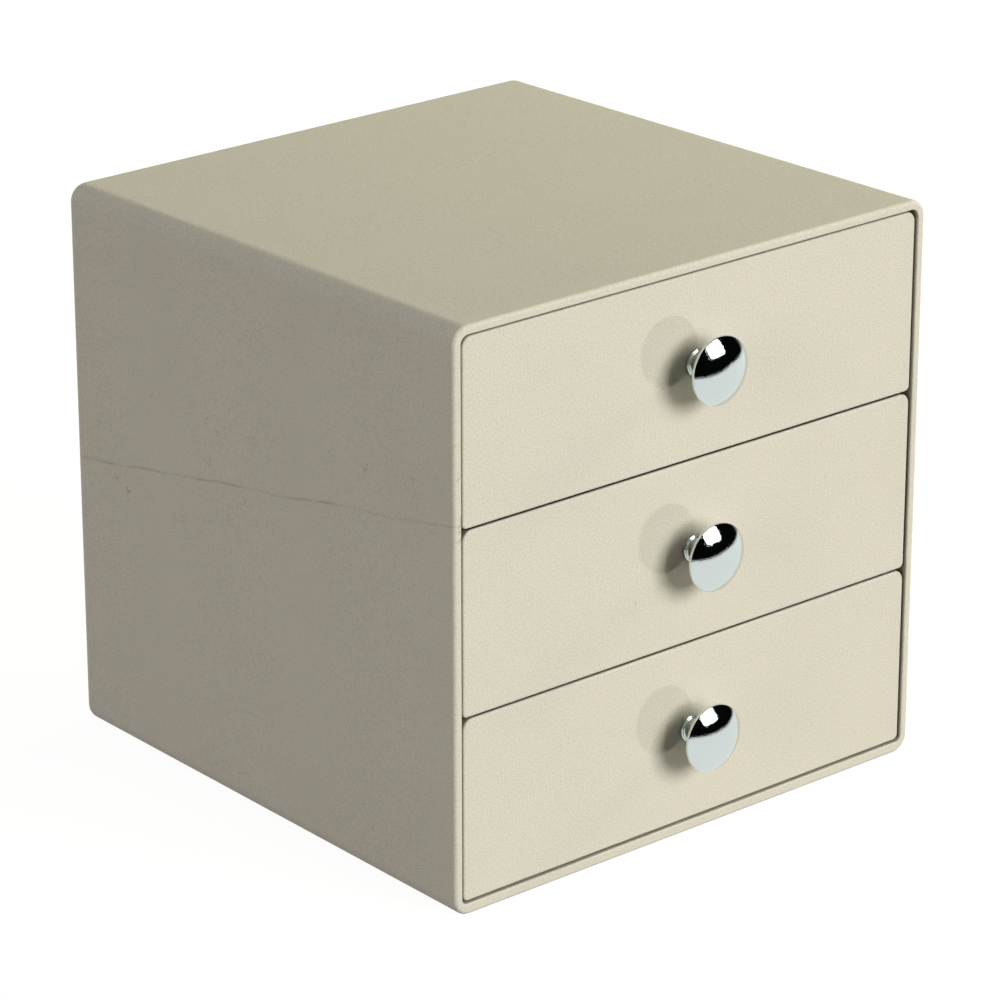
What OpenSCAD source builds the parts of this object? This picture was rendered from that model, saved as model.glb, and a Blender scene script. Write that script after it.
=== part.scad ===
// Three-drawer desktop organizer: a one-piece moulded case, three moulded drawers that slide on
// runners inside it, and a screwed-on metal knob on each drawer front. All sizes in millimetres.
// The origin is the middle of the case's underside, +Z is up and the drawers open towards -Y.

/* [Case] */
// Outer width of the case at its front rim
case_w = 165; // [130:1:220]
// Depth of the case from the front rim to the back face
case_d = 166; // [110:1:240]
// Outer height of the case at its front rim
case_h = 162; // [130:1:220]
// Thickness of the side, top and back walls
wall_t = 2.6; // [2:0.1:3.4]
// Thickness of the case floor
base_t = 3.2; // [2:0.1:5]
// Outer radius of the four long edges
edge_r = 5; // [4.5:0.1:8]
// Outer radius round the back face
back_r = 3; // [1.5:0.1:5]
// Rounding of the rim's outer edge
rim_r = 1.1; // [0.3:0.1:1.2]
// Rounding of the rim's inner edge
mouth_r = 0.4; // [0.2:0.1:0.8]
// Radius between the cavity's floor and its sides
cavity_floor_r = 1.6; // [0.6:0.1:4]
// Radius between the cavity's back wall and its sides
cavity_back_r = 1.2; // [0.5:0.1:2]
// How far each side wall leans in at the back, so that the case leaves its mould
side_draft = 1.3; // [0:0.1:2]
// How far the top wall comes down at the back
top_draft = 2.6; // [0:0.1:4]

/* [Runners] */
// How far a runner stands out from the side wall at the front
runner_w = 8; // [6:0.5:12]
// Thickness of a side runner at its root on the wall
runner_root_t = 2.6; // [2:0.1:4]
// Thickness of a side runner at its free edge
runner_tip_t = 1.8; // [1.2:0.1:2]
// Length of the sloping lead-in at the front of each runner
lead_in = 4; // [1:0.5:8]
// How far the lead-in drops
lead_drop = 0.8; // [0.3:0.1:1.2]

/* [Drawers] */
// Thickness of a drawer front, with the tub's front wall in it
front_t = 2.8; // [2.4:0.1:5]
// How far the drawer fronts lie behind the rim
front_recess = 0.5; // [0:0.1:2]
// Radius of a drawer front's upper corners
front_corner_r = 3.2; // [2.5:0.1:5]
// Radius of a drawer front's lower corners
front_lower_r = 1.6; // [1.3:0.1:5]
// Rounding of a drawer front's face edges
front_face_r = 0.7; // [0.3:0.1:1.2]
// Gap between a drawer front and the case's side walls
side_gap = 0.6; // [0.4:0.1:1.2]
// Gap between two drawer fronts, and above and below the stack
seam_gap = 0.5; // [0.4:0.1:1.2]
// How far a front hangs below its tub's floor
skirt = 1.8; // [1.2:0.1:3]
// Thickness of the tub's walls
tub_wall_t = 2; // [1.4:0.1:2.2]
// Thickness of the tub's floor
tub_floor_t = 2; // [1.4:0.1:3]
// Outer corner radius of the tub seen from above
tub_corner_r = 5; // [4:0.5:12]
// Outer radius along the tub's bottom edges
tub_bottom_r = 1.5; // [0.8:0.1:2]
// Radius between the tub's floor and its walls inside
tub_inside_r = 3; // [1:0.5:6]
// Rounding of the tub's rim
tub_rim_r = 0.6; // [0.2:0.1:0.65]
// How much narrower the tub is at its floor on each side
tub_draft = 0.8; // [0:0.1:1.5]

/* [Fits] */
// Running clearance between a tub's floor and its runners, and between a front and the runner ends
slide_gap = 0.3; // [0.2:0.05:0.6]
// Clearance beside a tub where the case is narrowest
tub_side_gap = 1; // [0.6:0.1:3]
// Clearance above a tub's rim, below the next runner or the top wall
tub_top_gap = 1.2; // [0.8:0.1:4]
// Clearance between a tub's tail and the back wall
tail_gap = 2.5; // [1:0.5:10]

/* [Knobs] */
// Diameter of the knob's cap
cap_dia = 19; // [14:0.2:30]
// Distance from the drawer front to the underside of the cap at its rim
cap_standoff = 8.3; // [6:0.1:16]
// Height of the band round the cap, with its rounded edges
cap_band = 1.3; // [0.8:0.1:2]
// Rounding of the band's edges
cap_lip_r = 0.45; // [0.1:0.05:0.5]
// Radius of the sphere that the cap's dome is cut from
dome_r = 14; // [10.5:0.5:24]
// Diameter of the neck at its slimmest
neck_dia = 6.4; // [5.6:0.2:8]
// Diameter of the foot that sits on the drawer front
foot_dia = 7.8; // [7.4:0.2:12]
// Thickness of the foot
foot_t = 1; // [0.6:0.1:2]
// Radius of the hollow curve between the foot and the neck, and between the neck and the cap
neck_fillet_r = 1; // [0.4:0.1:1.05]
// How much deeper the cap's underside is at the neck than at the rim
under_cap_slope = 0.9; // [0.2:0.1:1.5]
// Height of the knob's centre above the middle of the drawer front
knob_rise = 1; // [-5:0.5:5]

/* [Fasteners] */
// Nominal diameter of the knob screw
screw_dia = 4; // [3:0.5:4]
// Length of the knob screw's shank
screw_len = 12; // [10:1:12]
// Diameter of the screw's pan head
head_dia = 8; // [7:0.5:9]
// Height of the screw's pan head
head_h = 2.4; // [1.8:0.1:3]
// Depth of the cross recess in the head
recess_depth = 1.3; // [0.6:0.1:1.4]
// Width of the recess's arms
recess_arm_w = 0.9; // [0.6:0.1:1.2]
// Span of the recess from arm end to arm end
recess_span = 4.2; // [3:0.1:5]
// Diameter of the washer
washer_dia = 9; // [8:0.5:12]
// Thickness of the washer
washer_t = 0.8; // [0.5:0.1:1.5]
// Radial clearance of the screw in the knob's threaded hole
thread_clear = 0.05; // [0.02:0.01:0.1]
// Radial clearance of the screw in the washer
washer_clear = 0.15; // [0.1:0.05:0.3]
// Radial clearance of the screw in the drawer front
hole_clear = 0.25; // [0.15:0.05:0.5]
// Free depth of the knob's hole beyond the screw's tip
hole_spare = 0.6; // [0.3:0.1:1]

/* [Hidden] */
$fn = 48;

// The three places in the stack
BOTTOM = 0;
MIDDLE = 1;
TOP = 2;
drawer_count = 3;

// Steps in a quarter turn of a long edge or corner, and of a small rounding
corner_steps = 8;
round_steps = 3;

// Angles of a small rounding, from 0 to 90 degrees
quarter = [for (i = [0 : round_steps]) 90 * i / round_steps];

// Least corner radius where a rounding leaves less
least_r = 0.3;

// How far a cutting shape runs past what it cuts
cut_over = 1;

case_colour = [0.86, 0.84, 0.76];
drawer_colour = [0.87, 0.85, 0.77];
chrome_colour = [0.82, 0.85, 0.86];
steel_colour = [0.66, 0.67, 0.68];

front_y = -case_d / 2;
back_y = case_d / 2;
cavity_w = case_w - 2 * wall_t;
cavity_top_z = case_h - wall_t;
cavity_back_y = back_y - wall_t;
cavity_r = edge_r - wall_t;

// Drawer fronts
front_w = cavity_w - 2 * side_gap;
front_h = (cavity_top_z - base_t - (drawer_count + 1) * seam_gap) / drawer_count;
front_pitch = front_h + seam_gap;
face_y = front_y + front_recess;
front_back_y = face_y + front_t;

// A drawer front's corners follow the cavity's where those are rounder
front_upper_corner_r = max(front_corner_r, cavity_r - seam_gap);
front_lower_corner_r = max(front_lower_r, cavity_floor_r - seam_gap);

// Tubs: the rim passes below the next runner and, at the back, below the leaning top wall
tub_w = cavity_w - 2 * side_draft - 2 * tub_side_gap;
tub_front_y = front_back_y - tub_wall_t;
tub_back_y = cavity_back_y - tail_gap;
rim_below_runner = runner_root_t + slide_gap + tub_top_gap - skirt - seam_gap;
rim_below_top = top_draft + tub_top_gap - seam_gap;
tub_h = front_h - skirt - max(rim_below_runner, rim_below_top);

// Runners start just behind the drawer fronts and run to the back wall
runner_front_y = front_back_y + slide_gap;
runner_inner_x = cavity_w / 2 - runner_w;
runner_root_x = case_w / 2 - (wall_t + side_draft) / 2;

// Knob and fasteners
knob_z = front_h / 2 + knob_rise;
screw_r = screw_dia / 2;
screw_grip = front_t + washer_t;
knob_hole_depth = screw_len - screw_grip + hole_spare;

// The cap's band, each of whose rounded edges takes no more than band_edge_share of its height
cap_r = cap_dia / 2;
band_edge_share = 0.4;
band_edge_r = min(cap_lip_r, band_edge_share * cap_band);
band_low_z = cap_standoff + band_edge_r;
band_high_z = cap_standoff + cap_band - band_edge_r;

// The dome runs into the band's rounded upper edge at dome_edge_a from the knob's axis
dome_sphere_r = max(dome_r, cap_r);
dome_edge_a = asin((cap_r - band_edge_r) / (dome_sphere_r - band_edge_r));
dome_centre_z = band_high_z - (dome_sphere_r - band_edge_r) * cos(dome_edge_a);

// Height of the lower edge of the drawer front at a place in the stack
function front_z(place) = base_t + seam_gap + place * front_pitch;

// Height of the tub's underside at a place in the stack
function tub_z(place) = front_z(place) + skirt;

// A closed outline with four rounded corners, anticlockwise from the right-hand lower corner. The radii
// are those of its lower and of its upper corners.
function rounded_outline(x0, x1, y0, y1, lower_r, upper_r) = [
    for (corner = [[1, -1, 270], [1, 1, 0], [-1, 1, 90], [-1, -1, 180]])
        let (r = corner.y < 0 ? lower_r : upper_r,
             x = corner.x < 0 ? x0 + r : x1 - r,
             y = corner.y < 0 ? y0 + r : y1 - r)
            for (i = [0 : corner_steps])
                let (a = corner[2] + 90 * i / corner_steps)
                    [x + r * cos(a), y + r * sin(a)]
];

// The outline laid in a level plane, or standing across the depth
function at_z(outline, z) = [for (p = outline) [p.x, p.y, z]];
function at_y(outline, y) = [for (p = outline) [p.x, y, p.y]];

// The solid inside a series of rings, closed at its first and last ring. The rings run anticlockwise
// as seen from the side that the first rings advance towards.
module loft(rings) {
    count = len(rings[0]);
    last = len(rings) - 1;
    sides = [
        for (k = [0 : last - 1], i = [0 : count - 1])
            let (j = (i + 1) % count)
                [k * count + i, (k + 1) * count + i, (k + 1) * count + j, k * count + j]
    ];
    first_cap = [[for (i = [0 : count - 1]) i]];
    last_cap = [[for (i = [count - 1 : -1 : 0]) last * count + i]];
    polyhedron(
        points = [for (ring = rings) each ring],
        faces = concat(sides, first_cap, last_cap),
        convexity = 6
    );
}

// Share of the case's depth at y, from 0 at the rim to 1 at the back
function lean_at(y) = (y - front_y) / case_d;

// Outer surface of the case at depth y, drawn in by inset
function case_ring(y, inset) =
    let (half = case_w / 2 - side_draft * lean_at(y) - inset, top = case_h - top_draft * lean_at(y) - inset,
         r = max(edge_r - inset, least_r))
        at_y(rounded_outline(-half, half, inset, top, r, r), y);

// Surface of the cavity at depth y, drawn in by inset
function cavity_ring(y, inset) =
    let (half = cavity_w / 2 - side_draft * lean_at(y) - inset,
         top = cavity_top_z - top_draft * lean_at(y) - inset)
        at_y(rounded_outline(-half, half, base_t + inset, top, max(cavity_floor_r - inset, least_r),
                             max(cavity_r - inset, least_r)), y);

// The case's walls as one skin: forwards over the outside, round the rim, and back down the cavity
module case_shell() {
    loft([
        for (a = quarter) case_ring(back_y - back_r * (1 - cos(a)), back_r * (1 - sin(a))),
        for (a = quarter) case_ring(front_y + rim_r * (1 - sin(a)), rim_r * (1 - cos(a))),
        for (a = quarter) cavity_ring(front_y + mouth_r * (1 - cos(a)), -mouth_r * (1 - sin(a))),
        for (a = quarter)
            cavity_ring(cavity_back_y - cavity_back_r * (1 - sin(a)), cavity_back_r * (1 - cos(a))),
    ]);
}

// A strip along the right-hand wall with its top at top_z, thick at its root and thinner at its edge
module runner(top_z, tip_t, root_t) {
    length = cavity_back_y - runner_front_y + wall_t / 2;
    difference() {
        translate([0, runner_front_y + length, 0])
            rotate([90, 0, 0])
                linear_extrude(length)
                    polygon([
                        [runner_inner_x, top_z], [runner_inner_x, top_z - tip_t],
                        [runner_root_x, top_z - root_t], [runner_root_x, top_z],
                    ]);
        translate([runner_inner_x - cut_over, 0, 0])
            rotate([90, 0, 90])
                linear_extrude(runner_root_x - runner_inner_x + 2 * cut_over)
                    polygon([
                        [runner_front_y - cut_over, top_z - lead_drop * (1 + cut_over / lead_in)],
                        [runner_front_y + lead_in, top_z],
                        [runner_front_y + lead_in, top_z + cut_over],
                        [runner_front_y - cut_over, top_z + cut_over],
                    ]);
    }
}

// The pair of runners that carries the drawer at a place: strips on the floor, or ledges on the walls.
// Their roots end within the walls, at half the walls' thickness
module runner_pair(place) {
    top_z = tub_z(place) - slide_gap;
    on_floor = place == BOTTOM;
    tip_t = on_floor ? top_z - base_t / 2 : runner_tip_t;
    root_t = on_floor ? tip_t : runner_root_t;
    intersection() {
        for (side = [0, 1])
            mirror([side, 0, 0])
                runner(top_z, tip_t, root_t);
        loft([case_ring(back_y, wall_t / 2), case_ring(front_y, wall_t / 2)]);
    }
}

module case() {
    color(case_colour)
        union() {
            case_shell();
            for (place = [BOTTOM : TOP]) runner_pair(place);
        }
}

// Outer surface of the tub at height z above its underside, drawn in by inset
function tub_ring(z, inset) =
    let (lean = tub_draft * (1 - z / tub_h), half = tub_w / 2 - lean - inset,
         r = max(tub_corner_r - inset, least_r))
        at_z(rounded_outline(-half, half, tub_front_y + inset, tub_back_y - lean - inset, r, r), z);

// The open tub as one skin: up the outside, over the rim, and down to the inside floor
module tub() {
    loft([
        for (a = quarter) tub_ring(tub_bottom_r * (1 - cos(a)), tub_bottom_r * (1 - sin(a))),
        for (a = quarter) tub_ring(tub_h - tub_rim_r * (1 - sin(a)), tub_rim_r * (1 - cos(a))),
        for (a = quarter)
            tub_ring(tub_h - tub_rim_r * (1 - cos(a)), tub_wall_t - tub_rim_r * (1 - sin(a))),
        for (a = quarter)
            tub_ring(tub_floor_t + tub_inside_r * (1 - sin(a)), tub_wall_t + tub_inside_r * (1 - cos(a))),
    ]);
}

// Outline of the drawer front at depth y, drawn in by inset, with its lower edge at z 0
function front_ring(y, inset) =
    at_y(rounded_outline(-front_w / 2 + inset, front_w / 2 - inset, inset, front_h - inset,
                         front_lower_corner_r - inset, front_upper_corner_r - inset), y);

// The drawer's front panel, rounded round its face
module drawer_front() {
    loft([
        front_ring(front_back_y, 0),
        for (a = quarter) front_ring(face_y + front_face_r * (1 - sin(a)), front_face_r * (1 - cos(a))),
    ]);
}

// One drawer moulding, tub and front in one, drilled for the knob screw
module drawer(place) {
    color(drawer_colour)
        translate([0, 0, front_z(place)])
            difference() {
                union() {
                    translate([0, 0, skirt]) tub();
                    drawer_front();
                }
                translate([0, front_back_y + cut_over, knob_z])
                    rotate([90, 0, 0])
                        cylinder(h = front_t + 2 * cut_over, r = screw_r + hole_clear);
            }
}

// Stands what is modelled along +Z on the knob's axis at a place, pointing out of the drawer front
module on_knob_axis(place, y) {
    translate([0, y, front_z(place) + knob_z])
        rotate([90, 0, 0])
            children();
}

// A rectangle from the axis to r, from 0 to h, with its upper outer corner rounded
module turned_block(r, h, round_r) {
    difference() {
        square([r, h]);
        translate([r - round_r, h - round_r]) square(round_r + cut_over);
    }
    translate([r - round_r, h - round_r]) circle(round_r);
}

// A hollow corner between an upright at r and a level at h, above it (up = 1) or below it (up = -1)
module hollow_corner(r, h, size, up) {
    translate([r, h])
        difference() {
            translate([0, up > 0 ? 0 : -size]) square(size);
            translate([size, up * size]) circle(size);
        }
}

// Half section of the cap: a band with rounded edges, the dome over it, and a sloping underside
module cap_profile(inner_r, under_z) {
    edge_x = cap_r - band_edge_r;
    for (z = [band_low_z, band_high_z])
        translate([edge_x, z]) circle(band_edge_r);
    translate([0, band_low_z]) square([cap_r, band_high_z - band_low_z]);
    polygon([[0, under_z], [inner_r, under_z], [edge_x, cap_standoff], [edge_x, band_high_z],
             [0, band_high_z]]);
    intersection() {
        translate([0, dome_centre_z]) circle(dome_sphere_r);
        translate([0, band_high_z]) square([dome_sphere_r * sin(dome_edge_a), dome_sphere_r]);
    }
}

// Half section of the knob: foot, slim neck and cap, with the blind hole for the screw. The foot's
// ledge is shared by the hollow curve that rises to the neck and by the foot's rounded edge.
module knob_profile() {
    neck_r = neck_dia / 2;
    foot_r = max(foot_dia / 2, neck_r + least_r);
    half_ledge = (foot_r - neck_r) / 2;
    under_z = cap_standoff - under_cap_slope;
    difference() {
        union() {
            turned_block(foot_r, foot_t, min(foot_t / 2, half_ledge));
            square([neck_r, band_high_z]);
            hollow_corner(neck_r, foot_t, min(neck_fillet_r, half_ledge), 1);
            hollow_corner(neck_r, under_z, neck_fillet_r, -1);
            cap_profile(neck_r + neck_fillet_r, under_z);
        }
        translate([0, -cut_over]) square([screw_r + thread_clear, knob_hole_depth + cut_over]);
    }
}

module knob(place) {
    color(chrome_colour)
        on_knob_axis(place, face_y)
            rotate_extrude()
                knob_profile();
}

// Pan-head machine screw, its head inside the drawer and its shank in the knob
module knob_screw(place) {
    color(steel_colour)
        on_knob_axis(place, front_back_y + washer_t)
            difference() {
                union() {
                    cylinder(h = screw_len, r = screw_r);
                    mirror([0, 0, 1])
                        rotate_extrude()
                            turned_block(head_dia / 2, head_h, head_h / 2);
                }
                for (turn = [0, 90])
                    rotate([0, 0, turn])
                        translate([-recess_span / 2, -recess_arm_w / 2, -head_h - cut_over])
                            cube([recess_span, recess_arm_w, recess_depth + cut_over]);
            }
}

module knob_washer(place) {
    color(steel_colour)
        on_knob_axis(place, front_back_y + washer_t)
            difference() {
                cylinder(h = washer_t, d = washer_dia);
                translate([0, 0, -cut_over])
                    cylinder(h = washer_t + 2 * cut_over, r = screw_r + washer_clear);
            }
}

case();
drawer(BOTTOM);  // drawer_bottom
drawer(MIDDLE);  // drawer_middle
drawer(TOP);  // drawer_top
knob(BOTTOM);  // knob_bottom
knob(MIDDLE);  // knob_middle
knob(TOP);  // knob_top
knob_screw(BOTTOM);  // knob_screw_bottom
knob_screw(MIDDLE);  // knob_screw_middle
knob_screw(TOP);  // knob_screw_top
knob_washer(BOTTOM);  // knob_washer_bottom
knob_washer(MIDDLE);  // knob_washer_middle
knob_washer(TOP);  // knob_washer_top
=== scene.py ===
"""The looks of a three-drawer desktop organizer: moulded case and drawers, knobs, screws and stage."""

import math
from contextlib import contextmanager

import bmesh
import bpy
from bpy.props import FloatProperty, FloatVectorProperty, IntProperty, PointerProperty
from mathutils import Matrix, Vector


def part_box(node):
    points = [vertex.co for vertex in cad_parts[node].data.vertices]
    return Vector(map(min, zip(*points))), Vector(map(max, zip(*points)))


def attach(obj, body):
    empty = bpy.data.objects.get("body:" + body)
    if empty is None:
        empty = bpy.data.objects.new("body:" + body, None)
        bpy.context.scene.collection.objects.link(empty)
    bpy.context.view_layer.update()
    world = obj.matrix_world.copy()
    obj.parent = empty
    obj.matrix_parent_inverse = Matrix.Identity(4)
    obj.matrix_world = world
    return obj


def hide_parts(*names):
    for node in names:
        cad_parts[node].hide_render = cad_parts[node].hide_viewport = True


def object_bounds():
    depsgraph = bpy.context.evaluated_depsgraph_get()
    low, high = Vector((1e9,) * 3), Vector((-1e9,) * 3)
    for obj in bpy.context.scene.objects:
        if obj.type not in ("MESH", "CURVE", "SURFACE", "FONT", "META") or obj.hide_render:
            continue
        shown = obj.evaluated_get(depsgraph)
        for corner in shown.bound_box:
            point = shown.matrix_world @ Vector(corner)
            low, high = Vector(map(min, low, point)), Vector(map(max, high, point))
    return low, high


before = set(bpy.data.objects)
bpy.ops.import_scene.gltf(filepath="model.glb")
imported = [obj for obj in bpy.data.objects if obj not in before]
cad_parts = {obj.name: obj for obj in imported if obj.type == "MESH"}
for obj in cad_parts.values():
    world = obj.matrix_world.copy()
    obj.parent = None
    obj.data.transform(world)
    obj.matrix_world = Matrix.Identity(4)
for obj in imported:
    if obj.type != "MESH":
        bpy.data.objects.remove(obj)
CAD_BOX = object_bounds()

bl_info = {
    "name": "Desktop drawer organizer",
    "version": (1, 0, 0),
    "blender": (4, 5, 0),
    "location": "3D View > Sidebar > Organizer",
    "description": "Models a moulded three-drawer desktop organizer with chrome knobs, and a plain stage",
    "category": "Object",
}

MM = 0.001
PLACES = ("bottom", "middle", "top")

NEAR = 0.02 * MM  # places match within this
SHARP = math.radians(50)  # an edge is sharp when its faces meet at more than this
SMOOTH_ANGLE = math.radians(35)  # shading runs on smoothly up to this
ALONG = 0.9  # an edge or a normal lies along an axis when this share of it does

# Patterns in the plastic
PIT = 0.5 * MM  # width of the pits that spark erosion leaves
PIT_DEPTH = 0.13 * MM
CLOUD = 28 * MM  # width of the clouds of pigment
FLECK_SPACING = 12 * MM
GAP_REACH = 2 * MM  # painted shade darkens gaps narrower than this
NOOK_REACH = 9 * MM  # and, more weakly, nooks narrower than this, such as under the knob caps
PAINTED_GAP_SHADES = {"bottom": 0.45, "middle": 0.02, "top": 0.9}  # how light the painted shade leaves the gaps round each drawer

# Patterns along the flow line
BEND = 25 * MM  # length of its bends
BEND_HEIGHT = 3 * MM
FAINT_STRETCH = 9 * MM  # length of its fainter and stronger stretches
CRUMB = 0.9 * MM
CLUSTER = 7 * MM  # width of a cluster of crumbs
CLUSTERS_FROM = 30 * MM  # clusters begin at this distance from the line
CLUSTERS_TO = 6 * MM  # and are at their densest from here to the line

# Patterns in metal and paper
FILM = 4 * MM  # width of the patches of handling on the chrome
RIPPLE = 0.3 * MM  # width of the ripples in the casting under it
RIPPLE_DEPTH = 0.025 * MM
SPANGLE = 1.1 * MM  # width of a zinc crystal
FIBRE = 2 * MM  # length of the fibres of the paper

LAMP_DISTANCE = 6400 * MM  # how far the lamps stand from the organizer
SENSOR_WIDTH = 36  # of the camera, in millimetres


def linear(code):
    """The linear colour of an sRGB hex value."""
    channels = [int(code[i:i + 2], 16) / 255 for i in (0, 2, 4)]
    return [c / 12.92 if c <= 0.04045 else ((c + 0.055) / 1.055) ** 2.4 for c in channels] + [1.0]


def length(name, description, millimetres):
    """A length property with its default in millimetres."""
    return FloatProperty(name=name, description=description, default=millimetres * MM,
                         unit="LENGTH", precision=4)


def colour(name, description, code):
    """A colour property with its default as an sRGB hex value."""
    return FloatVectorProperty(name=name, description=description, default=linear(code),
                               size=4, subtype="COLOR", min=0, max=1)


def angle(name, description, degrees):
    """An angle property with its default in degrees."""
    return FloatProperty(name=name, description=description, default=math.radians(degrees),
                         subtype="ANGLE")


def number(name, description, value):
    """A plain number property."""
    return FloatProperty(name=name, description=description, default=value)


def facet_count(name, description, count):
    """A property for the number of facets of something round."""
    return IntProperty(name=name, description=description, default=count, min=12)


class CaseSizes(bpy.types.PropertyGroup):
    """Sizes and colour of the case moulding."""

    plastic: colour("Plastic", "Colour of the moulded plastic", "D9D3C1")
    wall: length("Wall", "Thickness of the side, top and back walls", 2.6)
    floor: length("Floor", "Thickness of the case floor", 3.2)
    edge_radius: length("Edge radius", "Outer radius of the four long edges", 5)
    back_radius: length("Back radius", "Outer radius round the back face", 3)
    rim_radius: length("Rim radius", "Rounding of the rim's outer edge", 1.1)
    mouth_radius: length("Mouth radius", "Rounding of the rim's inner edge", 0.4)
    cavity_radius: length("Cavity radius", "Radius of the cavity's upper long edges", 2.4)
    cavity_floor_radius: length("Cavity floor radius", "Radius of the cavity's lower long edges", 1.6)
    cavity_back_radius: length("Cavity back radius", "Radius round the cavity's back wall", 1.2)
    side_draft: length("Side draft", "How far each side wall leans in at the back", 1.3)
    top_draft: length("Top draft", "How far the top wall comes down at the back", 2.6)
    runner_width: length("Runner width", "How far a runner stands out from the side wall at the front", 8)
    runner_root: length("Runner root", "Thickness of a side runner at its root", 2.6)
    runner_tip: length("Runner tip", "Thickness of a side runner at its free edge", 1.8)
    lead_in: length("Lead-in", "Length of the slope at the front of a runner", 4)
    lead_drop: length("Lead drop", "How far the lead-in drops", 0.8)
    flow_back: length("Flow back", "Height of the flow line on the left wall at the back", 78.5)
    flow_front: length("Flow front", "Height of the flow line on the left wall at the front", 108)
    flow_width: length("Flow width", "Half the width of the flow line", 0.6)
    flow_colour: colour("Flow colour", "Colour of the flow line and of the burnt crumbs round it", "857862")


class DrawerSizes(bpy.types.PropertyGroup):
    """Sizes and colour of the drawer mouldings."""

    plastic: colour("Plastic", "Colour of the moulded plastic", "DAD4C2")
    front_thickness: length("Front thickness", "Thickness of a drawer front", 2.8)
    corner_radius: length("Corner radius", "Radius of a drawer front's upper corners", 3.2)
    lower_radius: length("Lower radius", "Radius of a drawer front's lower corners", 1.6)
    face_radius: length("Face radius", "Rounding of a drawer front's face edges", 0.7)
    skirt: length("Skirt", "How far a front hangs below its tub's floor", 1.8)
    tub_inset: length("Tub inset", "How far the tub's side lies behind the front's edge", 1.7)
    tub_height: length("Tub height", "Height of the tub", 46.3)
    tub_wall: length("Tub wall", "Thickness of the tub's walls", 2)
    tub_floor: length("Tub floor", "Thickness of the tub's floor", 2)
    tub_corner: length("Tub corner", "Outer corner radius of the tub seen from above", 5)
    tub_bottom: length("Tub bottom", "Outer radius along the tub's bottom edges", 1.5)
    tub_inside: length("Tub inside", "Radius between the tub's floor and its walls", 3)
    tub_rim: length("Tub rim", "Rounding of the tub's rim", 0.6)
    tub_draft: length("Tub draft", "How much narrower the tub is at its floor on each side", 0.8)
    slide_gap: length("Slide gap", "Running clearance between a tub's floor and its runners", 0.3)
    hole: length("Hole", "Diameter of the screw hole", 4.5)
    hole_facets: facet_count("Hole facets", "Facets round the screw hole", 48)


class KnobSizes(bpy.types.PropertyGroup):
    """Sizes and colour of the turned knobs."""

    chrome: colour("Chrome", "Colour of the chrome plate", "DBE5E4")
    cap: length("Cap", "Diameter of the cap", 19)
    standoff: length("Standoff", "Distance from the drawer front to the cap's rim", 8.3)
    band: length("Band", "Height of the band round the cap, with its rounded edges", 1.3)
    band_edge: length("Band edge", "Rounding of the band's edges", 0.45)
    dome: length("Dome", "Radius of the sphere that the dome is part of", 14)
    slope: length("Slope", "How much deeper the cap's underside is at the neck than at the rim", 0.9)
    collar: length("Collar", "Radius of the hollow curve between the neck and the cap", 1)
    neck: length("Neck", "Diameter of the neck", 6.4)
    foot: length("Foot", "Diameter of the foot", 7.8)
    foot_thickness: length("Foot thickness", "Thickness of the foot", 1)
    facets: facet_count("Facets", "Facets round the knob", 128)


class StageSettings(bpy.types.PropertyGroup):
    """Camera, floor and light."""

    azimuth: angle("Azimuth", "Camera azimuth, from straight in front towards the right", -40.38)
    elevation: angle("Elevation", "Camera elevation above the horizon", 21.44)
    distance: length("Distance", "Camera distance from its target", 1271.4)
    target_x: length("Target x", "Camera target to the right of the middle", 3.3)
    target_z: length("Target z", "Camera target above the floor", 70.2)
    lens: number("Lens", "Focal length in millimetres", 164.9)
    paper: colour("Paper", "Colour of the paper sweep", "5F5F59")
    paper_fibre: colour("Paper fibre", "Colour of the paper's paler fibres", "62625D")
    paper_size: length("Paper size", "Length and width of the paper", 6000)
    paper_front: length("Paper front", "How far from the middle the paper ends, towards the camera", 400)
    paper_lip: length("Paper lip", "Height to which the paper's front edge is turned up", 25)
    paper_glow: number("Paper glow", "What the camera sees above the paper's own light", 0.95)
    paper_gleam: number("Paper gleam", "What chrome mirrors above the paper's own light", 0.78)
    key_azimuth: angle("Key azimuth", "Key softbox azimuth, from straight in front towards the right", 15)
    key_elevation: angle("Key elevation", "Key softbox elevation", 20)
    key_width: length("Key width", "Width of the key softbox", 3640)
    key_height: length("Key height", "Height of the key softbox", 3300)
    key_power: number("Key power", "Power of the key softbox in watts", 374)
    card_elevation: angle("Card elevation", "Elevation of the card that the chrome mirrors", 37)
    card_power: number("Card power", "Power of that card in watts", 462)
    fill_azimuth: angle("Fill azimuth", "Azimuth of the fill light on the left side", -82)
    fill_elevation: angle("Fill elevation", "Elevation of the fill light", 12)
    fill_colour: colour("Fill colour", "Colour of the fill light", "FFFBFF")
    fill_power: number("Fill power", "Power of the fill light in watts", 127)
    room: number("Room", "Light from the pale room behind the object", 0.36)
    room_gleam: number("Room gleam", "What chrome mirrors of that room", 0.72)
    room_front: number("Room front", "Brightness of the dark room in front", 0.002)
    window_azimuth: angle("Window azimuth", "Azimuth of the low window on the right", 90)
    window_elevation: angle("Window elevation", "Elevation of that window", 27)
    window_distance: length("Window distance", "Distance of that window from the organizer", 1200)
    window_width: length("Window width", "Width of that window", 700)
    window_height: length("Window height", "Height of that window", 200)
    window_colour: colour("Window colour", "Colour of its light", "FBFBD8")
    window_power: number("Window power", "Power of that window in watts", 9.6)
    back_azimuth: angle("Back azimuth", "Azimuth of the fill light behind the organizer", 180)
    back_elevation: angle("Back elevation", "Elevation of the fill light behind the organizer", 8)
    back_power: number("Back power", "Power of that light in watts", 52)
    kick_azimuth: angle("Kick azimuth", "Azimuth of the weak light off the glossy table", 47)
    kick_elevation: angle("Kick elevation", "Elevation of the weak light off the glossy table", -21)
    kick_spread: angle("Kick spread", "How wide that light looks from the organizer", 2)
    kick: number("Kick", "Strength of the weak light off the glossy table", 0.6)


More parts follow.
